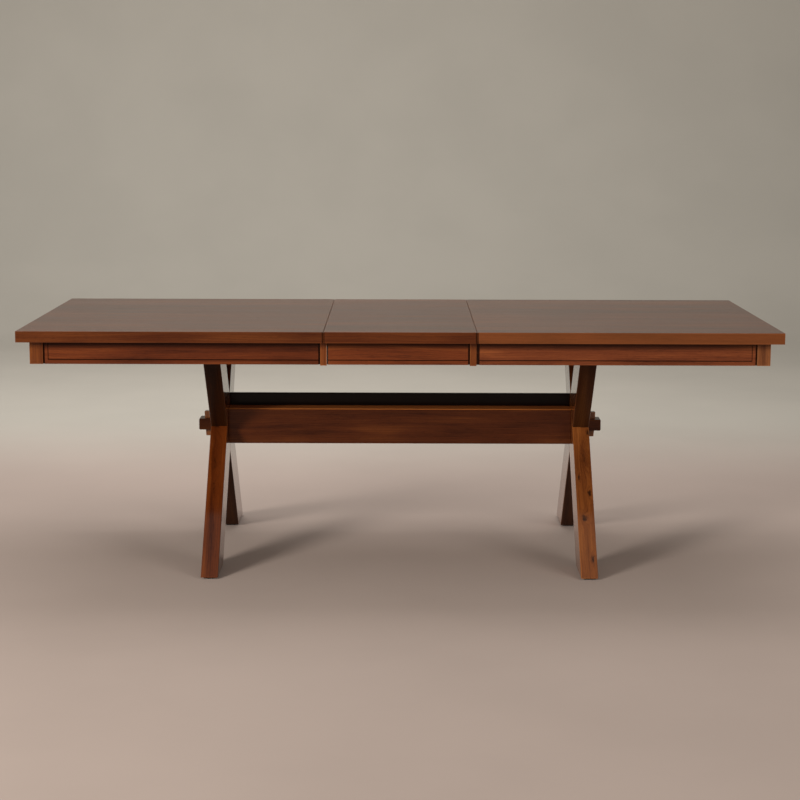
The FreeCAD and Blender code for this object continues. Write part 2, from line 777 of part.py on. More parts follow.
leaf_corners = [
    (f"-{SEAM}", TOP_UNDERSIDE),
    (f"-{SEAM}", "table_height - seam_bevel"),
    (f"-({SEAM} - seam_bevel)", "table_height"),
    (f"{SEAM} - seam_bevel", "table_height"),
    (SEAM, "table_height - seam_bevel"),
    (SEAM, TOP_UNDERSIDE),
]
leaf_slots = group("leaf_slots", [pin_slot(side, y) for side in sides for y in PIN_LINES[side]])
leaf_body = slab("leaf_slab", leaf_corners, [(f"{side} * {SEAM}", -side) for side in sides])
finish("leaf_slab", cut("leaf_slab", leaf_body, leaf_slots))


# The aprons. Each is drawn with its face at y = 0 towards -Y and then turned into place.


# The width and the depth of the groove at an apron's end, by what the end meets
END_GROOVES = {
    "corner": ("corner_groove_width", "corner_groove_depth"),
    "block": ("block_groove_width", "corner_groove_depth"),
    "seam": ("seam_groove_width", "corner_groove_depth"),
    "lap": (LAP_WIDTH, "lap_depth"),
}


def apron(name, length, start_meets, end_meets):
    """An apron board with its bead, a groove at each end, and a stile beside a corner block's groove."""
    body = new_body(name)
    face = rectangle("0", length, "0", "apron_height")
    pad(body, sketch_on(body, "XZ_Plane", [face]), "apron_thickness", backwards=True)
    over = "apron_height + overrun"
    start_width, start_depth = END_GROOVES[start_meets]
    start_groove = rectangle("-overrun", start_width, "-overrun", over)
    pocket(body, sketch_on(body, "XZ_Plane", [start_groove]), start_depth)
    end_width, end_depth = END_GROOVES[end_meets]
    end_groove = rectangle(f"{length} - {end_width}", f"{length} + overrun", "-overrun", over)
    pocket(body, sketch_on(body, "XZ_Plane", [end_groove]), end_depth)
    corner_at_start = start_meets == "corner"
    corner_at_end = end_meets == "corner"
    stile = "(corner_groove_width + stile_width)"
    quirk_top = "bead_height + quirk_width"
    start = stile if corner_at_start else "-overrun"
    end = f"{length} - {stile}" if corner_at_end else f"{length} + overrun"
    quirk = [(start, "bead_height"), (end, "bead_height")]
    if corner_at_end:
        inner = f"{end} - stile_quirk_width"
        quirk += [(end, over), (inner, over), (inner, quirk_top)]
    else:
        quirk.append((end, quirk_top))
    if corner_at_start:
        inner = f"{start} + stile_quirk_width"
        quirk += [(inner, quirk_top), (inner, over), (start, over)]
    else:
        quirk.append((start, quirk_top))
    pocket(body, sketch_on(body, "XZ_Plane", [quirk]), "quirk_depth")
    round_bead(body)
    return body


def round_bead(body):
    """Round the bead's two long edges on the apron's face."""

    def at_height(height):
        def chosen(edge):
            middle = edge.CenterOfMass
            return runs_along_x(edge) and close(middle.y, 0) and close(middle.z, height)

        return chosen

    ease(body, "Fillet", "bead_lower_radius", at_height(0))
    ease(body, "Fillet", "bead_upper_radius", at_height(sheet.bead_height))


def long_aprons(member, start, end, start_meets, end_meets):
    """The front and the rear apron of one member of the top, from start to end along X."""
    length = f"({end} - {start})"
    front = apron(f"{member}_front_apron", length, start_meets, end_meets)
    put(front, start, f"-{APRON_FACE_Y}", APRON_BOTTOM)
    finish(f"{member}_front_apron", front)
    rear = turn(apron(f"{member}_rear_apron", length, end_meets, start_meets), 180)
    put(rear, end, APRON_FACE_Y, APRON_BOTTOM)
    finish(f"{member}_rear_apron", rear)


def end_apron(name, side):
    body = turn(apron(name, f"(2 * {BLOCK_INNER_Y})", "corner", "corner"), 90 * side)
    put(body, f"{side} * {APRON_FACE_X}", f"-{side} * {BLOCK_INNER_Y}", APRON_BOTTOM)
    return finish(name, body)


def corner_block(name, side, row):
    block = board(
        name,
        span(side, BLOCK_INNER_X, APRON_FACE_X),
        span(row, BLOCK_INNER_Y, APRON_FACE_Y),
        (APRON_BOTTOM, "apron_height"),
    )
    return finish(name, block)


SEAM_BLOCK_FACE = f"({APRON_FACE_Y} + seam_block_proud)"
SEAM_BLOCK_BACK = f"({SEAM_BLOCK_FACE} - seam_block_thickness)"


def seam_block(name, start, row, *cuts):
    """The upright block at the end of an apron, a little proud of it and longer."""
    block = board(
        name,
        (start, "seam_block_width"),
        span(row, SEAM_BLOCK_BACK, SEAM_BLOCK_FACE),
        (f"{APRON_BOTTOM} - seam_block_drop", "apron_height + seam_block_drop"),
    )
    return finish(name, cut(name, block, *cuts))


def lap_notch(row):
    """The notch behind the part of a left seam block that reaches past the left half's edge."""
    return board(
        "lap_notch",
        (f"-{HALF_EDGE}", "seam_block_width"),
        span(row, f"({SEAM_BLOCK_BACK} - overrun)", f"({APRON_FACE_Y} - lap_depth + lap_clearance)"),
        (f"{APRON_BOTTOM} - seam_block_drop - overrun", "apron_height + seam_block_drop + 2 * overrun"),
    )


def brace(side, row):
    """A brace across the corner, from the long apron to the end apron."""
    end_face = f"({APRON_FACE_X} - apron_thickness)"
    long_face = f"({APRON_FACE_Y} - apron_thickness)"
    corners = [
        (f"{side} * {end_face}", f"{row} * ({long_face} - brace_inner_length)"),
        (f"{side} * {end_face}", f"{row} * ({long_face} - brace_outer_length)"),
        (f"{side} * ({end_face} - brace_outer_length)", f"{row} * {long_face}"),
        (f"{side} * ({end_face} - brace_inner_length)", f"{row} * {long_face}"),
    ]
    body = new_body("corner_brace")
    height = f"{TOP_UNDERSIDE} - brace_height"
    pad(body, sketch_on(body, "XY_Plane", [corners], height), "brace_height")
    return body


long_aprons("left", f"-{BLOCK_INNER_X}", LEFT_BLOCK_START, "corner", "block")
long_aprons("leaf", LEAF_APRON_START, LEAF_BLOCK_START, "seam", "block")
long_aprons("right", HALF_EDGE, BLOCK_INNER_X, "lap", "corner")
for side, side_name in ((-1, "left"), (1, "right")):
    end_apron(f"{side_name}_end_apron", side)
    for row, row_name in ((-1, "front"), (1, "rear")):
        corner_block(f"{side_name}_{row_name}_corner_block", side, row)
    braces = group(f"{side_name}_braces", [brace(side, row) for row in sides])
    finish(f"{side_name}_corner_braces", braces)
for row, row_name in ((-1, "front"), (1, "rear")):
    seam_block(f"left_{row_name}_seam_block", LEFT_BLOCK_START, row, lap_notch(row))
    seam_block(f"leaf_{row_name}_seam_block", LEAF_BLOCK_START, row)


# Check the whole document, then write each sub-part

doc.recompute()
for thing in doc.Objects:
    if "Invalid" in thing.State or "Error" in thing.State:
        raise RuntimeError(f"{thing.Name} has failed")
for name, thing in nodes.items():
    if thing.Shape.isNull() or not thing.Shape.isValid() or not thing.Shape.Solids:
        raise RuntimeError(f"{name} has no valid shape")

os.makedirs("parts", exist_ok=True)
for name, thing in nodes.items():
    thing.Shape.exportStep(f"parts/{name}.step")
print(f"{len(nodes)} sub-parts written")
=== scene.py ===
"""Finish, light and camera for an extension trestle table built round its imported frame."""

import json
import math

import bmesh
import bpy
from mathutils import Matrix, Vector

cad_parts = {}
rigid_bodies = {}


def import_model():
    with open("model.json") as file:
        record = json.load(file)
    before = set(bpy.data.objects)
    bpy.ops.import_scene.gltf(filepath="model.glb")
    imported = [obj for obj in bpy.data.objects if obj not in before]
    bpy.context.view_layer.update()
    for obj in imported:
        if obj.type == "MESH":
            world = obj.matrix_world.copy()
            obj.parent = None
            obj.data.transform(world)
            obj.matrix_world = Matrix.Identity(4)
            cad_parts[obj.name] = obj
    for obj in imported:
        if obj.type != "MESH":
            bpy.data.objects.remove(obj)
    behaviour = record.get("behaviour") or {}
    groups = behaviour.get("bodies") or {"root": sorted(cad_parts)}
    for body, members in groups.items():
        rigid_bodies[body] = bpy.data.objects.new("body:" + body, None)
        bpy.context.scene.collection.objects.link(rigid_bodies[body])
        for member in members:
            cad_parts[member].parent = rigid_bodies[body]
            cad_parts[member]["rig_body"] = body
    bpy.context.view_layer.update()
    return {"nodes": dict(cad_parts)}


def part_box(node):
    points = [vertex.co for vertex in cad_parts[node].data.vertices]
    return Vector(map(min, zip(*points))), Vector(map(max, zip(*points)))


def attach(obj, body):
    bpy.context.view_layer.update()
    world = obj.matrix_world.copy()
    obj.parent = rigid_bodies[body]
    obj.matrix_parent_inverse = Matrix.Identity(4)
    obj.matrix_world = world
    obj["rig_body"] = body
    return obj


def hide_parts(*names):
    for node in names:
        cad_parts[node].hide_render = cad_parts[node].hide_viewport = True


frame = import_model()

MM = 0.001
X, Y, Z = Vector((1, 0, 0)), Vector((0, 1, 0)), Vector((0, 0, 1))
SIDES = {"left": -1, "right": 1}
ENDS = {"front": -1, "rear": 1}

# Meshes: what is welded, flat and sharp, and how far each kind of edge is rounded, in metres
WELD = 0.01 * MM
FLAT_DEGREES = 0.6
SHARP_DEGREES = 28
SMOOTH_WEIGHT = 80
ARRIS = 1.3 * MM
FINE_ARRIS = 0.5 * MM
SEAM_ARRIS = 0.2 * MM
SLAB_ARRIS = 0.8 * MM
GLIDE_ARRIS = 0.6 * MM

# An apron's front, from its bead upwards and from its face inwards, in metres
BEAD_HEIGHT = 12.5 * MM
BEAD_ROUNDING = 3.1 * MM
FACE_DEPTH = 0.9 * MM
QUIRK_DEPTH = 2.6 * MM
GROOVE_DEPTH = 9.6 * MM
TOP_MARGIN = 1.0 * MM
TOLERANCE = 0.2 * MM

# Pan-head screws, and where they sit: from the middle along a moving rail, and below the top
HEAD_POINTS = 20
HEAD_RADIUS = 4.2 * MM
HEAD_HEIGHT = 2.0 * MM
HEAD_SINK = 0.1 * MM
RAIL_SCREWS = (0.275, 0.385, 0.505, 0.630)
RAIL_SCREW_INSET = 12.0 * MM
BRACE_SCREWS = (0.012, 0.038)

# How far an arm runs towards the other end while it rises by 1
ARM_RUN = 0.908
ARM_SLOPE = math.atan2(1.0, ARM_RUN)

# Camera, worked out from the top's corners, the feet and the seams
CAMERA_PLACE = Vector((0, -5.9499, 1.4186))
CAMERA_PITCH = math.radians(8.935)
CAMERA_ROLL = math.radians(0.162)
CAMERA_LENS = 83.49
CAMERA_SENSOR = 36
CAMERA_REACH = 100

# Stain colours as linear red, green and blue
CHESTNUT = {
    "deep": (0.062, 0.0135, 0.0048),
    "middle": (0.135, 0.0315, 0.0098),
    "bright": (0.245, 0.0680, 0.0185),
}
AMBER = {
    "deep": (0.070, 0.0160, 0.0045),
    "middle": (0.190, 0.0560, 0.0130),
    "bright": (0.340, 0.1200, 0.0290),
}
BARE = {
    "deep": (0.300, 0.170, 0.080),
    "middle": (0.450, 0.280, 0.140),
    "bright": (0.560, 0.380, 0.210),
}
# Painted shade darkens towards the first of these two colours, and painted light lightens towards the
# second
PAINTED_SHADE_COLOUR = (0.006, 0.0040, 0.0032)
PAINTED_LIGHT_COLOUR = (1.000, 0.3300, 0.0900)
HEART = (0.012, 0.0050, 0.0030)

# The fittings' nylon and zinc
IVORY_NYLON = (0.72, 0.70, 0.64)
BLACK_NYLON = (0.020, 0.020, 0.022)
ZINC_DARK = (0.33, 0.33, 0.32)
ZINC_PALE = (0.62, 0.62, 0.59)

# The wood's figure: rings in a metre, strips of a glued top, and how far the grain wanders, in metres
RING_COUNT = 150.0
STRIP_WIDTH = 0.121
STRIP_SHIFT = 7.0
GRAIN_WAVER = 0.030
GRAIN_RISE = 0.09
KNOT_PULL = 0.022
KNOT_RAGGEDNESS = 0.016

# Where arrises turn lighter and where faces are darkened, mostly with painted shade and shadow: reaches in
# metres, and shares of the full darkening
ARRIS_LIGHTENING_WIDTH = 4.5 * MM
# Painted shade at a slab's seams: how far it reaches from the end, and from the front or rear edge
SEAM_SHADE = (1.5 * MM, 5.0 * MM)
SEAM_EDGE = (0.6 * MM, 1.2 * MM)
# The slab's shadow painted along the top of each apron: how far down it reaches, how much its edge wanders,
# and its depth
TOP_SHADOW_REACH = 25.0 * MM
TOP_SHADOW_WAVER = 9.0 * MM
TOP_SHADOW_DEPTH = 0.78
PAINTED_SHADE_STRENGTH = 0.88
# Painted shade in an apron's wider grooves, its quirks taking the full amount
GROOVE_SHADE = 0.55
# How much the left tenon's front is darkened
TENON_DARKENING = 0.5
# Painted shade on the arms' downward faces, for each trestle
UNDERSIDE_SHADES = {"left": 0.82, "right": 0.80}

# Knots on the front arms: place along, across and through the arm, and size, in metres
FRONT_ARM_KNOTS = {
    "left": (
        ((-0.085, -0.0060, -0.0510), (0.0450, 0.0080, 0.014)),
        ((-0.180, -0.0030, -0.0500), (0.0500, 0.0070, 0.014)),
    ),
    "right": (
        ((0.029, 0.0205, -0.0560), (0.0120, 0.0060, 0.014)),
        ((-0.062, 0.0055, -0.0510), (0.0380, 0.0075, 0.014)),
        ((-0.140, -0.0165, -0.0550), (0.0120, 0.0040, 0.012)),
        ((-0.195, 0.0150, -0.0560), (0.0140, 0.0075, 0.014)),
        ((-0.286, -0.0045, -0.0560), (0.0150, 0.0085, 0.014)),
        ((-0.430, 0.0125, -0.0560), (0.0140, 0.0050, 0.014)),
    ),
}

# Each piece's tone, by which its stain is multiplied: mostly the wood's own tone, but the right side's
# brighter, bluer tints are partly painted light and painted sheen from the right, and the right rear arm's
# darker tint is partly painted shade
APRON_TINTS = {"left": (0.78, 0.66, 0.55), "leaf": (1.11, 0.99, 0.83), "right": (1.24, 1.24, 1.30)}
CORNER_TINTS = {"left": (0.60, 0.48, 0.44), "right": (1.02, 1.12, 1.60)}
SEAM_BLOCK_TINT = (0.98, 0.82, 0.80)
ARM_TINTS = {
    ("left", "front"): (0.50, 0.33, 0.22),
    ("right", "front"): (1.02, 0.96, 0.88),
    ("left", "rear"): (0.50, 0.42, 0.36),
    ("right", "rear"): (0.74, 0.68, 0.66),
}
BEAM_TINT = (0.50, 0.47, 0.40)
# The ridge is made nearly black all over
RIDGE_TINT = (0.03, 0.03, 0.03)
# A slab's tint, which of its left and right ends meet a seam, and the painted shade on its long edges,
# painted light where below 0
SLAB_LOOKS = {
    "left": ((0.68, 0.64, 0.58), (0, 1, 0), 0.28),
    "leaf": ((0.70, 0.64, 0.57), (1, 1, 0), 0.24),
    "right": ((0.70, 0.69, 0.70), (1, 0, 0), -0.15),
}

# The room: floor and backdrop in one sweep, in metres, and where the first tone turns into the second
FLOOR_TONE = (0.460, 0.368, 0.321)
BACKDROP_TONE = (0.440, 0.407, 0.355)
PATCH_TONE = (0.90, 0.90, 0.90)
TONE_TURN = (0.9, 2.6)
STAGE_HALF_WIDTH = 30.0
STAGE_FRONT = -30.0
BEND_START = 5.0
BEND_RADIUS = 2.5
BEND_STEPS = 16
BACKDROP_TOP = 9.0

# Name, place, target, width and height, watts, colour, and whether glossy faces mirror the lamp
LAMPS = (
    ("ceiling_soft", (0.0, 1.7, 3.5), (0, 1.2, 0.4), (4.5, 2.2), 60, (1.0, 0.98, 0.96), True),
    ("left_soft", (-3.7, -4.0, 2.2), (0, 0, 0.5), (1.3, 1.3), 215, (1.0, 0.97, 0.92), False),
    ("right_soft", (3.9, -4.0, 2.3), (0.5, 0, 0.5), (2.6, 2.0), 85, (1.0, 0.97, 0.93), False),
    ("backdrop_wash", (-1.2, 1.6, 3.6), (-1.5, 6.5, 1.2), (5.0, 1.0), 150, (1.0, 0.99, 0.98), True),
)
ROOM_COLOUR = (1.0, 0.97, 0.91, 1)
ROOM_STRENGTH = 0.30


class Graph:
    """One material's nodes: each call adds a node, joins its inputs and returns its output."""

    def __init__(self, name):
        self.material = bpy.data.materials.new(name)
        self.material.use_nodes = True
        self.tree = self.material.node_tree
        self.shader = self.tree.nodes["Principled BSDF"]

    def plug(self, socket, value):
        if isinstance(value, bpy.types.NodeSocket):
            self.tree.links.new(value, socket)
        else:
            socket.default_value = value

    def node(self, kind, inputs, output=0, **settings):
        made = self.tree.nodes.new(kind)
        for name, value in settings.items():
            setattr(made, name, value)
        for key, value in inputs.items():
            self.plug(made.inputs[key], value)
        return made.outputs[output]

    def attribute(self, name, output="Vector"):
        return self.node("ShaderNodeAttribute", {}, output, attribute_name=name)

    def math(self, operation, *values):
        return self.node("ShaderNodeMath", dict(enumerate(values)), operation=operation)

    def vector(self, operation, *values, output="Vector"):
        inputs = dict(enumerate(values))
        if operation == "SCALE":
            inputs = {"Vector": values[0], "Scale": values[1]}
        return self.node("ShaderNodeVectorMath", inputs, output, operation=operation)

    def split(self, vector):
        made = self.tree.nodes.new("ShaderNodeSeparateXYZ")
        self.plug(made.inputs[0], vector)
        return made.outputs[0], made.outputs[1], made.outputs[2]

    def join(self, x, y, z):
        return self.node("ShaderNodeCombineXYZ", {0: x, 1: y, 2: z})

    def noise(self, vector, scale, detail=2.0, roughness=0.5, output="Fac"):
        inputs = {"Vector": vector, "Scale": scale, "Detail": detail, "Roughness": roughness}
        return self.node("ShaderNodeTexNoise", inputs, output)

    def drawn_noise(self, vector, along, across, detail=2.0, roughness=0.5, output="Fac"):
        """Noise drawn out along the fibres, by how often it changes in a metre along and across."""
        scaled = self.vector("MULTIPLY", vector, (along, across, across))
        return self.noise(scaled, 1.0, detail, roughness, output)

    def wander(self, vector, along, across, detail, reach):
        """Drawn-out noise as an offset that goes as far one way as the other."""
        noise = self.drawn_noise(vector, along, across, detail, output="Color")
        return self.vector("SCALE", self.vector("SUBTRACT", noise, (0.5, 0.5, 0.5)), reach)

    def stretch(self, value, low, high, new_low=0.0, new_high=1.0):
        inputs = {0: value, 1: low, 2: high, 3: new_low, 4: new_high}
        return self.node("ShaderNodeMapRange", inputs, interpolation_type="SMOOTHSTEP")

    def mix(self, share, first, second, blend="MIX"):
        made = self.tree.nodes.new("ShaderNodeMix")
        made.data_type = "RGBA"
        made.blend_type = blend
        made.clamp_factor = True
        self.plug(made.inputs[0], share)
        for socket, value in ((made.inputs[6], first), (made.inputs[7], second)):
            self.plug(socket, (*value, 1) if isinstance(value, tuple) else value)
        return made.outputs[2]

    def bump(self, height, strength, distance):
        inputs = {"Height": height, "Strength": strength, "Distance": distance}
        self.plug(self.shader.inputs["Normal"], self.node("ShaderNodeBump", inputs))

    def set(self, **sockets):
        for name, value in sockets.items():
            self.plug(self.shader.inputs[name.replace("_", " ")], value)


def inset(g):
    """How far inside its board's box a point lies, along, across and through the board."""
    return g.split(g.vector("SUBTRACT", g.attribute("half"), g.vector("ABSOLUTE", g.attribute("spot"))))


def edge_nearness(g, width):
    """1 on a board's arrises and 0 from the given width inwards."""
    along, across, through = inset(g)
    least = g.math("MINIMUM", along, across)
    most = g.math("MAXIMUM", along, across)
    second = g.math("MAXIMUM", least, g.math("MINIMUM", most, through))
    return g.stretch(second, 0.0, width, 1.0, 0.0)


def seam_shade(g):
    """1 on the front and rear edges of a slab close to a seam, where painted shade darkens the end arris in
    the joint.
    """
    _, from_edge, _ = inset(g)
    from_low, _, _ = g.split(g.vector("ADD", g.attribute("half"), g.attribute("spot")))
    from_high, _, _ = g.split(g.vector("SUBTRACT", g.attribute("half"), g.attribute("spot")))
    low_on, high_on, _ = g.split(g.attribute("seams"))
    low = g.math("MULTIPLY", g.stretch(from_low, *SEAM_SHADE, 1.0, 0.0), low_on)
    high = g.math("MULTIPLY", g.stretch(from_high, *SEAM_SHADE, 1.0, 0.0), high_on)
    at_edge = g.stretch(from_edge, *SEAM_EDGE, 1.0, 0.0)
    return g.math("MULTIPLY", g.math("MAXIMUM", low, high), at_edge)


def gathered_glaze(g, clouds, top_shadow):
    """Share of painted shading: what its face is marked with, painted shade at the seams and, if asked for,
    the slab's shadow painted under a board's top; below 0 it paints light.
    """
    glaze = g.math("ADD", g.attribute("glaze", "Fac"), seam_shade(g))
    # Painted shadow of the slab's overhang, along the board's top
    if top_shadow:
        _, height, _ = g.split(g.vector("SUBTRACT", g.attribute("half"), g.attribute("spot")))
        drop = g.math("SUBTRACT", height, g.math("MULTIPLY", clouds, top_shadow))
        glaze = g.math("MAXIMUM", glaze, g.stretch(drop, 0.0, TOP_SHADOW_REACH, TOP_SHADOW_DEPTH, 0.0))
    return glaze


def glued_strips(g, grain, width):
    """Shifts the grain from each glued strip to the next, and gives each strip a tone from 0 to 1."""
    _, across, _ = g.split(grain)
    lane = g.math("FLOOR", g.math("DIVIDE", across, width))
    tone = g.node("ShaderNodeTexWhiteNoise", {"W": lane}, "Value", noise_dimensions="1D")
    shift = g.math("MULTIPLY", tone, STRIP_SHIFT)
    return g.vector("ADD", grain, g.join(shift, 0.0, shift)), tone


def knot_field(g, place, size):
    """How far a point is from the middle of one knot, in sizes of that knot, with a ragged outline."""
    ragged = g.wander(g.attribute("spot"), 90.0, 260.0, 3.0, KNOT_RAGGEDNESS)
    offset = g.vector("ADD", g.vector("SUBTRACT", g.attribute("spot"), place), ragged)
    return g.vector("LENGTH", g.vector("DIVIDE", offset, size), output="Value")


def knot_marks(g, grain, knots, share):
    """The swirls round knots and the knots' hearts, 0 to 1, in a share of the wood and at given places."""
    cells = g.tree.nodes.new("ShaderNodeTexVoronoi")
    g.plug(cells.inputs["Vector"], g.vector("MULTIPLY", grain, (2.6, 9.0, 9.0)))
    cells.inputs["Scale"].default_value = 1.0
    chance = g.math("LESS_THAN", g.split(cells.outputs["Color"])[0], share)
    reach = g.math("ADD", cells.outputs["Distance"], g.math("SUBTRACT", 1.0, chance))
    swirl = g.stretch(reach, 0.0, 0.26, 1.0, 0.0)
    heart = g.stretch(reach, 0.03, 0.10, 1.0, 0.0)
    for place, size in knots:
        distance = knot_field(g, place, size)
        swirl = g.math("MAXIMUM", swirl, g.stretch(distance, 0.0, 2.6, 1.0, 0.0))
        heart = g.math("MAXIMUM", heart, g.stretch(distance, 0.55, 1.25, 1.0, 0.0))
    return swirl, heart


def wood(
    name, tones, knots=(), strip=0.0, knot_share=0.3, gloss=0.36, coat=0.85, coat_ior=1.33,
    coat_roughness=0.15, top_shadow=0.0,
):
    """Stained and lacquered hardwood: growth rings, streaks, pores, knots, arrises that turn lighter,
    painted shade and shadow, and painted light.
    """
    g = Graph(name)
    grain, board_tone = g.attribute("grain"), 0.5
    if strip:
        grain, board_tone = glued_strips(g, grain, strip)

    waver = g.wander(grain, 1.6, 9.0, 2.0, GRAIN_WAVER)
    bent = g.vector("ADD", grain, g.vector("MULTIPLY", waver, (0.0, 1.0, 1.0)))
    swirl, heart = knot_marks(g, bent, knots, knot_share)
    pulled = g.vector("ADD", bent, g.join(0.0, g.math("MULTIPLY", swirl, KNOT_PULL), 0.0))

    _, across, through = g.split(pulled)
    rise = g.drawn_noise(bent, 1.1, 2.5, 1.0)
    depth = g.math("ADD", through, g.math("MULTIPLY", rise, GRAIN_RISE))
    radius = g.vector("LENGTH", g.join(across, depth, 0.0), output="Value")
    rings = g.math("FRACT", g.math("MULTIPLY", radius, RING_COUNT))
    ring_line = g.stretch(rings, 0.62, 0.98)

    streaks = g.drawn_noise(pulled, 1.7, 46.0, 4.0, 0.6)
    clouds = g.drawn_noise(bent, 3.2, 13.0)
    fibres = g.drawn_noise(pulled, 22.0, 620.0, 2.0, 0.7)
    pore = g.stretch(g.drawn_noise(pulled, 60.0, 1500.0, 1.0), 0.60, 0.72)

    level = g.math("ADD", g.math("MULTIPLY", streaks, 0.62), g.math("MULTIPLY", clouds, 0.38))
    level = g.math("ADD", level, g.math("MULTIPLY", g.math("SUBTRACT", board_tone, 0.5), 0.16))
    colour = g.mix(g.stretch(level, 0.34, 0.52), tones["deep"], tones["middle"])
    colour = g.mix(g.stretch(level, 0.50, 0.68), colour, tones["bright"])
    colour = g.mix(g.math("MULTIPLY", ring_line, 0.34), colour, tones["deep"])
    colour = g.mix(g.stretch(fibres, 0.35, 0.75, 0.0, 0.30), colour, tones["bright"])
    colour = g.mix(g.math("MULTIPLY", pore, 0.45), colour, HEART)
    colour = g.mix(g.math("MULTIPLY", swirl, 0.35), colour, tones["deep"])
    colour = g.mix(g.math("MULTIPLY", heart, 0.88), colour, HEART)

    # Arrises turn lighter, more in some places than others
    arris_lightening = g.math("MULTIPLY", edge_nearness(g, ARRIS_LIGHTENING_WIDTH), g.stretch(clouds, 0.35, 0.62, 0.15, 0.75))
    colour = g.mix(arris_lightening, colour, tones["bright"])
    # Painted shade and shadow darken towards the shade colour; below 0, painted light lightens towards the
    # light colour
    glaze = gathered_glaze(g, clouds, top_shadow)
    colour = g.mix(g.math("MULTIPLY", glaze, PAINTED_SHADE_STRENGTH), colour, PAINTED_SHADE_COLOUR)
    colour = g.mix(g.math("MULTIPLY", glaze, -1.0), colour, PAINTED_LIGHT_COLOUR)
    g.set(Base_Color=g.mix(1.0, colour, g.attribute("tint"), "MULTIPLY"))

    dull = g.math("ADD", g.math("MULTIPLY", fibres, 0.12), g.math("MULTIPLY", clouds, 0.10))
    dull = g.math("ADD", dull, g.math("MULTIPLY", pore, 0.18))
    g.set(Roughness=g.math("ADD", dull, gloss - 0.08))
    # Painted shade also takes the lacquer off, dulling the sheen where it lies
    lacquered = g.math("SUBTRACT", 1.0, g.math("MAXIMUM", glaze, 0.0))
    g.set(Coat_Weight=g.math("MULTIPLY", lacquered, coat))
    g.set(Specular_IOR_Level=0.08, Coat_Roughness=coat_roughness, Coat_IOR=coat_ior)
    relief = g.math("SUBTRACT", g.math("MULTIPLY", fibres, 0.5), pore)
    relief = g.math("SUBTRACT", relief, g.math("MULTIPLY", ring_line, 0.35))
    g.bump(relief, 0.22, 0.30 * MM)
    return g.material


def nylon(name, colour):
    """Moulded plastic with a faint flow pattern and a satin skin."""
    g = Graph(name)
    flow = g.drawn_noise(g.attribute("grain"), 90.0, 160.0, 3.0)
    speck = g.noise(g.attribute("grain"), 2600.0, 2.0)
    darker = tuple(0.72 * c for c in colour)
    g.set(Base_Color=g.mix(g.stretch(flow, 0.35, 0.65), darker, colour))
    g.set(Roughness=g.stretch(speck, 0.3, 0.7, 0.34, 0.55))
    g.bump(speck, 0.18, 0.10 * MM)
    return g.material


def zinc_steel(name):
    """Zinc-plated steel: spangle and fine brushing."""
    g = Graph(name)
    spangle = g.noise(g.attribute("grain"), 420.0, 3.0)
    brushing = g.drawn_noise(g.attribute("grain"), 200.0, 3000.0)
    g.set(Base_Color=g.mix(g.stretch(spangle, 0.3, 0.7), ZINC_DARK, ZINC_PALE))
    g.set(Metallic=1.0, Roughness=g.stretch(brushing, 0.3, 0.7, 0.26, 0.46))
    g.bump(brushing, 0.15, 0.08 * MM)
    return g.material


def stage_paint(name):
    """Matt pale floor that turns into the backdrop's tone, a little uneven as real paint is."""
    g = Graph(name)
    place = g.node("ShaderNodeTexCoord", {}, "Object")
    colour = g.mix(g.stretch(g.split(place)[1], *TONE_TURN), FLOOR_TONE, BACKDROP_TONE)
    patches = g.stretch(g.noise(place, 1.4, 4.0), 0.3, 0.7, 0.0, 0.5)
    g.set(Base_Color=g.mix(patches, colour, PATCH_TONE, "MULTIPLY"), Roughness=0.85)
    return g.material


def board_axes(along, across):
    """Unit vectors along the fibres, across the board and through it."""
    first = along.normalized()
    through = first.cross(across).normalized()
    return first, through.cross(first).normalized(), through


def write_places(mesh, axes, seed, tint, seams):
    """Stores where each point lies in its board, for the wood to follow, as attributes of the mesh."""
    local = [Vector([v.co.dot(axis) for axis in axes]) for v in mesh.vertices]
    low = Vector([min(p[i] for p in local) for i in range(3)])
    high = Vector([max(p[i] for p in local) for i in range(3)])
    middle, half = (low + high) / 2, (high - low) / 2
    shift = Vector((3.17, 1.31, 0.71)) * seed
    values = {
        "spot": [p - middle for p in local],
        "grain": [p - middle + shift for p in local],
        "half": [half] * len(local),
        "tint": [Vector(tint)] * len(local),
        "seams": [Vector(seams)] * len(local),
    }
    for name, vectors in values.items():
        layer = mesh.attributes.new(name, "FLOAT_VECTOR", "POINT")
        layer.data.foreach_set("vector", [c for v in vectors for c in v])


def write_glaze(mesh, glaze):
    """Marks each face: up to 1 where it is darkened, mostly with painted shade, down to -1 where light is
    painted, else 0.
    """
    layer = mesh.attributes.new("glaze", "FLOAT", "FACE")
    layer.data.foreach_set("value", [float(glaze(f)) for f in mesh.polygons])


def rounded(mesh, arris, steps):
    """Welds a mesh, makes its flat faces whole again and rounds its sharp edges."""
    work = bmesh.new()
    work.from_mesh(mesh)
    bmesh.ops.remove_doubles(work, verts=work.verts, dist=WELD)
    flat = math.radians(FLAT_DEGREES)
    bmesh.ops.dissolve_limit(work, angle_limit=flat, verts=work.verts, edges=work.edges)
    if arris:
        limit = math.radians(SHARP_DEGREES)
        sharp = [e for e in work.edges if len(e.link_faces) == 2 and e.calc_face_angle(0) > limit]
        bmesh.ops.bevel(
            work, geom=sharp, offset=arris, offset_type="OFFSET", segments=steps,
            profile=0.5, affect="EDGES", clamp_overlap=False,
        )
    work.to_mesh(mesh)
    work.free()


def weigh_normals(piece):
    """Keeps flat faces flat next to their rounded edges."""
    weigh = piece.modifiers.new("weigh_normals", "WEIGHTED_NORMAL")
    weigh.keep_sharp = True
    weigh.weight = SMOOTH_WEIGHT


made = []


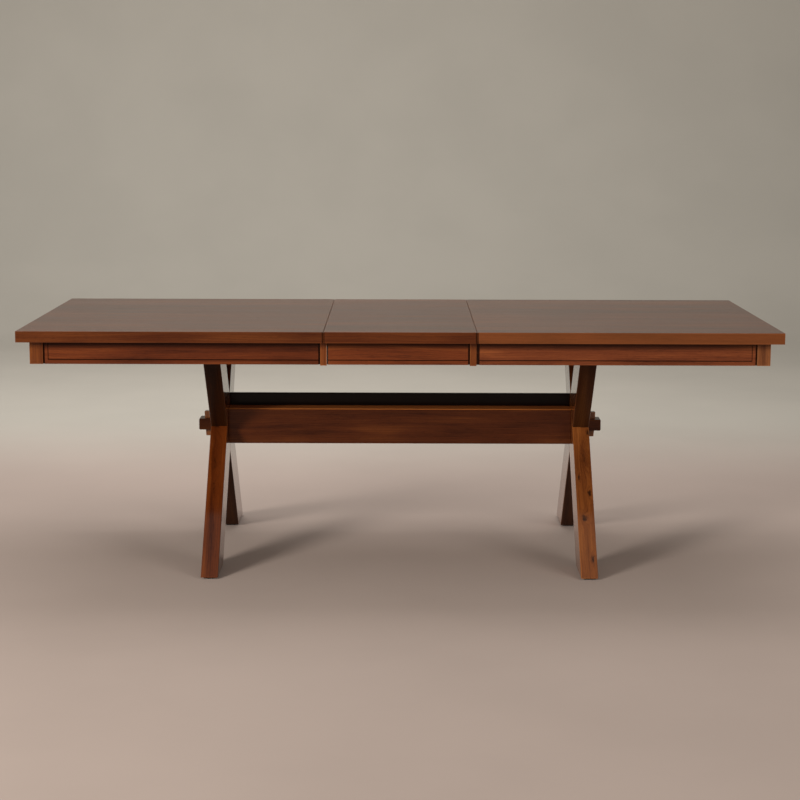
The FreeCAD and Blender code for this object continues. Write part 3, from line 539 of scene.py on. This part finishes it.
def finish_piece(mesh, name, body, slot, material, axes, tint=(1, 1, 1), glaze=None, seams=(0, 0, 0)):
    """Turns a mesh into a piece that rides on its body, with its places, shading and material."""
    write_places(mesh, axes, len(made) + 1, tint, seams)
    write_glaze(mesh, glaze or (lambda face: 0))
    mesh.materials.clear()
    mesh.materials.append(material)
    for face in mesh.polygons:
        face.use_smooth = True
        face.material_index = 0
    piece = bpy.data.objects.new(name, mesh)
    bpy.context.scene.collection.objects.link(piece)
    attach(piece, body)
    made.append(piece)
    return piece


def dressed(node, slot, material, along=X, across=Y, arris=ARRIS, steps=2, **look):
    """Makes a finished copy of one node, which it stands for."""
    source = frame["nodes"][node]
    mesh = source.data.copy()
    mesh.name = node + "_finished"
    rounded(mesh, arris, steps)
    axes = board_axes(along, across)
    body = source["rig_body"]
    piece = finish_piece(mesh, node + "_finished", body, slot, material, axes, **look)
    weigh_normals(piece)
    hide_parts(node)


def side_glaze(axis, value):
    """Gives the faces that look along an axis, either way, a value of painted shade, which paints light
    where it is below 0.
    """

    def glaze(face):
        return value if abs(face.normal.dot(axis)) > 0.9 else 0

    return glaze


def underside_glaze(value):
    """Darkens the faces that look down with painted shade."""

    def glaze(face):
        return value if face.normal.z < -0.4 else 0

    return glaze


def groove_glaze(node, across):
    """Darkens an apron's sunk faces with painted shade, but not its face, its bead or its back, along the
    axis across it.
    """
    low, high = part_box(node)
    outer = max(abs(low.dot(across)), abs(high.dot(across)))
    bead_top = low.z + BEAD_HEIGHT

    def glaze(face):
        sunk = outer - abs(face.center.dot(across))
        on_bead = face.center.z < bead_top + TOLERANCE and sunk < BEAD_ROUNDING
        at_top = face.center.z > high.z - TOP_MARGIN
        if on_bead or at_top or not FACE_DEPTH < sunk < GROOVE_DEPTH:
            return 0
        return 1 if sunk < QUIRK_DEPTH else GROOVE_SHADE

    return glaze


def beam_glaze():
    """Paints light on the top face of the stretcher beam and darkens the left tenon's front."""
    _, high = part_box("stretcher_beam")
    low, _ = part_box("left_front_arm")

    def glaze(face):
        if face.normal.z > 0.5 and face.center.z > high.z - 3 * MM:
            # Painted light on the beam's top face
            return -1
        return TENON_DARKENING if face.center.x < low.x + 10 * MM and face.normal.y < -0.5 else 0

    return glaze


TOP = wood("top_stain", CHESTNUT, strip=STRIP_WIDTH, knot_share=0.10, gloss=0.40, coat=0.65)
# The aprons carry a painted shadow of the slab under their top
APRON = wood("apron_stain", CHESTNUT, knot_share=0.12, top_shadow=TOP_SHADOW_WAVER)
CORNER = wood("corner_stain", AMBER, knot_share=0.15)
ARM_LACQUER = {"coat": 1.0, "coat_ior": 1.45, "coat_roughness": 0.10}
ARM = wood("arm_stain", AMBER, knot_share=0.16, **ARM_LACQUER)
FRONT_ARMS = {
    part: wood(f"{part}_front_arm_stain", AMBER, knots, knot_share=0.06, **ARM_LACQUER)
    for part, knots in FRONT_ARM_KNOTS.items()
}
BEAM = wood("beam_stain", CHESTNUT, knot_share=0.10, coat=0.4)
RUNNER = wood("runner_wood", BARE, knot_share=0.04, gloss=0.5, coat=0.05)
DOWEL = wood("dowel_wood", BARE, knot_share=0.0, gloss=0.5, coat=0.05)
GEAR = nylon("gear_nylon", IVORY_NYLON)
GLIDE = nylon("glide_nylon", BLACK_NYLON)
STEEL = zinc_steel("zinc_steel")


def dress_slabs():
    for part, (tint, seams, edge) in SLAB_LOOKS.items():
        # The long edges get painted shade, and painted light where the value is below 0
        look = {"tint": tint, "seams": seams, "glaze": side_glaze(Y, edge)}
        dressed(f"{part}_slab", "top_wood", TOP, X, Y, SLAB_ARRIS, 2, **look)


def dress_aprons():
    for part, tint in APRON_TINTS.items():
        for end in ENDS:
            node = f"{part}_{end}_apron"
            look = {"tint": tint, "glaze": groove_glaze(node, Y)}
            dressed(node, "frame_wood", APRON, X, Z, SEAM_ARRIS, 1, **look)
    for part in SIDES:
        node = f"{part}_end_apron"
        dressed(node, "frame_wood", APRON, Y, Z, FINE_ARRIS, 1, glaze=groove_glaze(node, X))


def dress_blocks():
    for part in SIDES:
        for end in ENDS:
            node, tint = f"{part}_{end}_corner_block", CORNER_TINTS[part]
            dressed(node, "frame_wood", CORNER, Z, X, FINE_ARRIS, 1, tint=tint)
    # The seam blocks' end faces are fully darkened with painted shade, where they meet the gaps beside them
    look = {"tint": SEAM_BLOCK_TINT, "glaze": side_glaze(X, 1)}
    for part in ("left", "leaf"):
        for end in ENDS:
            dressed(f"{part}_{end}_seam_block", "frame_wood", CORNER, Z, X, SEAM_ARRIS, 1, **look)


def arm_direction(end):
    """Along an arm from its foot upwards: an arm is named by the end where its foot stands."""
    return Vector((0, -ENDS[end] * math.cos(ARM_SLOPE), math.sin(ARM_SLOPE)))


def dress_trestles():
    for part in SIDES:
        for end in ENDS:
            material = FRONT_ARMS[part] if end == "front" else ARM
            look = {"tint": ARM_TINTS[part, end], "glaze": underside_glaze(UNDERSIDE_SHADES[part])}
            dressed(f"{part}_{end}_arm", "frame_wood", material, arm_direction(end), X, **look)
        dressed(f"{part}_bearer", "slide_wood", RUNNER, Y, X)
        dressed(f"{part}_wedge_key", "frame_wood", ARM, Z, X, FINE_ARRIS, 2)
    dressed("stretcher_beam", "frame_wood", BEAM, X, Z, tint=BEAM_TINT, glaze=beam_glaze())
    dressed("stretcher_ridge", "frame_wood", BEAM, X, Z, tint=RIDGE_TINT)


def dress_slides():
    for end in ENDS:
        dressed(f"{end}_fixed_rail", "slide_wood", RUNNER, X, Y, FINE_ARRIS, 1)
        dressed(f"{end}_pinion", "gear_plastic", GEAR, Z, X, 0)
        for part in SIDES:
            dressed(f"{part}_{end}_moving_rail", "slide_wood", RUNNER, X, Y, FINE_ARRIS, 1)
            dressed(f"{part}_{end}_rack", "gear_plastic", GEAR, X, Y, 0)
    for part in SIDES:
        dressed(f"{part}_corner_braces", "slide_wood", RUNNER, Z, X, FINE_ARRIS, 1)
        dressed(f"{part}_locating_pins", "pin_wood", DOWEL, X, Y, 0)
    for node in ("bearer_lag_bolts", "rail_screws", "pinion_axles"):
        dressed(node, "steel", STEEL, Z, X, 0)
    dressed("foot_glides", "glide_plastic", GLIDE, Z, X, GLIDE_ARRIS, 2)


def screw_head(work, place, axis):
    """A pan head with a cross recess, standing off its face along the axis."""
    turn = axis.to_track_quat("Z", "Y").to_matrix()

    def loop(points):
        return [work.verts.new(place + turn @ Vector(p)) for p in points]

    def circle(radius, height):
        turns = [2 * math.pi * i / HEAD_POINTS for i in range(HEAD_POINTS)]
        return loop([(radius * math.cos(a), radius * math.sin(a), height) for a in turns])

    def cross(arm, half, height):
        quarter = [(arm, -half), (arm, half), (half, half)]
        points = []
        for _ in range(4):
            points += [(x, y, height) for x, y in quarter]
            quarter = [(-y, x) for x, y in quarter]
        return loop(points)

    def wall(lower, upper):
        for i in range(len(lower)):
            j = (i + 1) % len(lower)
            work.faces.new((lower[i], lower[j], upper[j], upper[i]))

    foot = circle(HEAD_RADIUS, -HEAD_SINK)
    rim = circle(HEAD_RADIUS, 0.5 * HEAD_HEIGHT)
    crown = circle(0.72 * HEAD_RADIUS, HEAD_HEIGHT)
    mouth = cross(0.50 * HEAD_RADIUS, 0.12 * HEAD_RADIUS, HEAD_HEIGHT)
    floor = cross(0.34 * HEAD_RADIUS, 0.10 * HEAD_RADIUS, 0.2 * HEAD_HEIGHT)
    wall(foot, rim)
    wall(rim, crown)
    wall(floor, mouth)
    work.faces.new(list(reversed(foot)))
    work.faces.new(floor)
    edges = [work.edges.get((ring[i - 1], ring[i])) for ring in (crown, mouth) for i in range(len(ring))]
    bmesh.ops.triangle_fill(work, edges=edges, use_beauty=True)


def screws(name, body, places):
    """Pan-head screws of one body, as one piece. A place is a point on the face and its way out."""
    work = bmesh.new()
    for place, axis in places:
        screw_head(work, place, axis.normalized())
    bmesh.ops.recalc_face_normals(work, faces=work.faces)
    mesh = bpy.data.meshes.new(name)
    work.to_mesh(mesh)
    work.free()
    finish_piece(mesh, name, body, "steel", STEEL, board_axes(Z, X))


def fasten_halves():
    """The screws that hold the moving rails and the corner braces, too small for the frame."""
    for part, side in SIDES.items():
        places = []
        for end in ENDS:
            low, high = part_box(f"{part}_{end}_moving_rail")
            fixed_low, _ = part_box(f"{end}_fixed_rail")
            free_side = low.y + RAIL_SCREW_INSET if low.y < fixed_low.y else high.y - RAIL_SCREW_INSET
            places += [(Vector((side * along, free_side, low.z)), -Z) for along in RAIL_SCREWS]
        low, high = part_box(f"{part}_corner_braces")
        inner, outer = (low.x, high.x) if side > 0 else (high.x, low.x)
        for row in ENDS.values():
            middle = Vector(((inner + outer) / 2, row * (high.y - abs(outer - inner) / 2), 0))
            out = Vector((-side, -row, 0))
            places += [(middle + Z * (high.z - drop), out) for drop in BRACE_SCREWS]
        screws(f"{part}_half_screws", frame["nodes"][f"{part}_slab"]["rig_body"], places)


def make_stage():
    """A pale floor that runs up into a backdrop in one sweep."""
    profile = [(STAGE_FRONT, 0.0), (BEND_START, 0.0)]
    for step in range(1, BEND_STEPS + 1):
        turn = math.pi / 2 * step / BEND_STEPS
        profile.append((BEND_START + BEND_RADIUS * math.sin(turn), BEND_RADIUS * (1 - math.cos(turn))))
    profile.append((BEND_START + BEND_RADIUS, BACKDROP_TOP))
    work = bmesh.new()
    rows = [[work.verts.new((side * STAGE_HALF_WIDTH, y, z)) for side in (-1, 1)] for y, z in profile]
    for near, far in zip(rows, rows[1:]):
        work.faces.new((near[0], near[1], far[1], far[0]))
    mesh = bpy.data.meshes.new("floor")
    work.to_mesh(mesh)
    work.free()
    for face in mesh.polygons:
        face.use_smooth = True
    mesh.materials.append(stage_paint("stage_paint"))
    floor = bpy.data.objects.new("floor", mesh)
    bpy.context.scene.collection.objects.link(floor)


def make_lights():
    """Soft area lamps in a dim warm room."""
    for name, place, target, size, watts, colour, mirrored in LAMPS:
        data = bpy.data.lights.new(name, "AREA")
        data.shape = "RECTANGLE"
        data.size, data.size_y = size
        data.energy = watts
        data.color = colour
        lamp = bpy.data.objects.new(name, data)
        bpy.context.scene.collection.objects.link(lamp)
        lamp.location = place
        lamp.visible_glossy = mirrored
        lamp.rotation_euler = (Vector(target) - Vector(place)).to_track_quat("-Z", "Y").to_euler()
    world = bpy.data.worlds.new("studio")
    world.use_nodes = True
    background = world.node_tree.nodes["Background"]
    background.inputs["Color"].default_value = ROOM_COLOUR
    background.inputs["Strength"].default_value = ROOM_STRENGTH
    bpy.context.scene.world = world


def make_camera():
    """The photograph's view: a long lens a little above the table, looking slightly down."""
    data = bpy.data.cameras.new("camera")
    data.lens = CAMERA_LENS
    data.sensor_width = CAMERA_SENSOR
    data.clip_end = CAMERA_REACH
    camera = bpy.data.objects.new("camera", data)
    bpy.context.scene.collection.objects.link(camera)
    tilt = Matrix.Rotation(math.pi / 2 - CAMERA_PITCH, 4, "X")
    roll = Matrix.Rotation(CAMERA_ROLL, 4, "Z")
    camera.matrix_world = Matrix.Translation(CAMERA_PLACE) @ tilt @ roll
    bpy.context.scene.camera = camera


dress_slabs()
dress_aprons()
dress_blocks()
dress_trestles()
dress_slides()
fasten_halves()
make_stage()
make_lights()
make_camera()
bpy.context.scene.view_settings.view_transform = "Standard"
